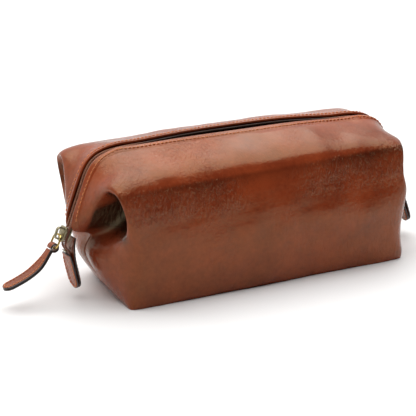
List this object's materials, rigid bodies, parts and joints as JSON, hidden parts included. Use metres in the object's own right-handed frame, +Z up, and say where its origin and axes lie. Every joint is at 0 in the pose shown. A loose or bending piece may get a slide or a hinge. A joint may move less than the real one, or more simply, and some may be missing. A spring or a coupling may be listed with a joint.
{
  "type": "shaving kit bag",
  "caption": "Soft leather wash bag with a zip along its roof and down both beaked ends, a sliding zip pull on a ring with a leather strap, and sewn end tabs.",
  "frame": {"origin": "centre of the flat base, on the surface it stands on", "axes": "+X along the bag away from the zip slider's end, +Y from front to back, +Z up"},
  "size_m": [0.4014, 0.125, 0.1275],
  "materials": {
    "body_leather": "smooth glossy cognac leather, fine grain",
    "tab_back_leather": "smooth darker cognac leather",
    "stiffener_board": "bare pressed board",
    "lining_cloth": "dark brown twill",
    "zip_tape": "woven brown tape",
    "zip_coil": "moulded brown teeth",
    "old_brass": "antique brass",
    "bright_brass": "polished brass"
  },
  "bodies": {
    "bag": {"front_panel": "body_leather", "back_panel": "body_leather", "base_panel": "body_leather", "base_board": "stiffener_board", "lining": "lining_cloth", "front_zip_teeth": "zip_coil", "front_zip_tape": "zip_tape", "back_zip_teeth": "zip_coil", "back_zip_tape": "zip_tape", "zip_bottom_stop": "old_brass", "zip_top_stop": "old_brass", "left_tab_outer": "body_leather", "left_tab_inner": "tab_back_leather", "right_tab_outer": "body_leather", "right_tab_inner": "tab_back_leather"},
    "slider": {"zip_slider": "old_brass", "slider_bail": "old_brass"},
    "ring": {"pull_ring": "bright_brass"},
    "strap": {"pull_strap": "body_leather"}
  },
  "joints": [
    {"name": "slider_travel", "type": "slide", "parent": "bag", "child": "slider", "axis": [0.3584, 0, 0.9336], "range_m": [0, 0.045]},
    {"name": "ring_swing", "type": "hinge", "parent": "slider", "child": "ring", "pos_m": [-0.17371, 0, 0.05844], "axis": [0, 1, 0], "range_deg": [-10, 90]},
    {"name": "strap_swing", "type": "hinge", "parent": "ring", "child": "strap", "pos_m": [-0.17894, 0, 0.04809], "axis": [0, 1, 0], "range_deg": [-10, 45]}
  ]
}
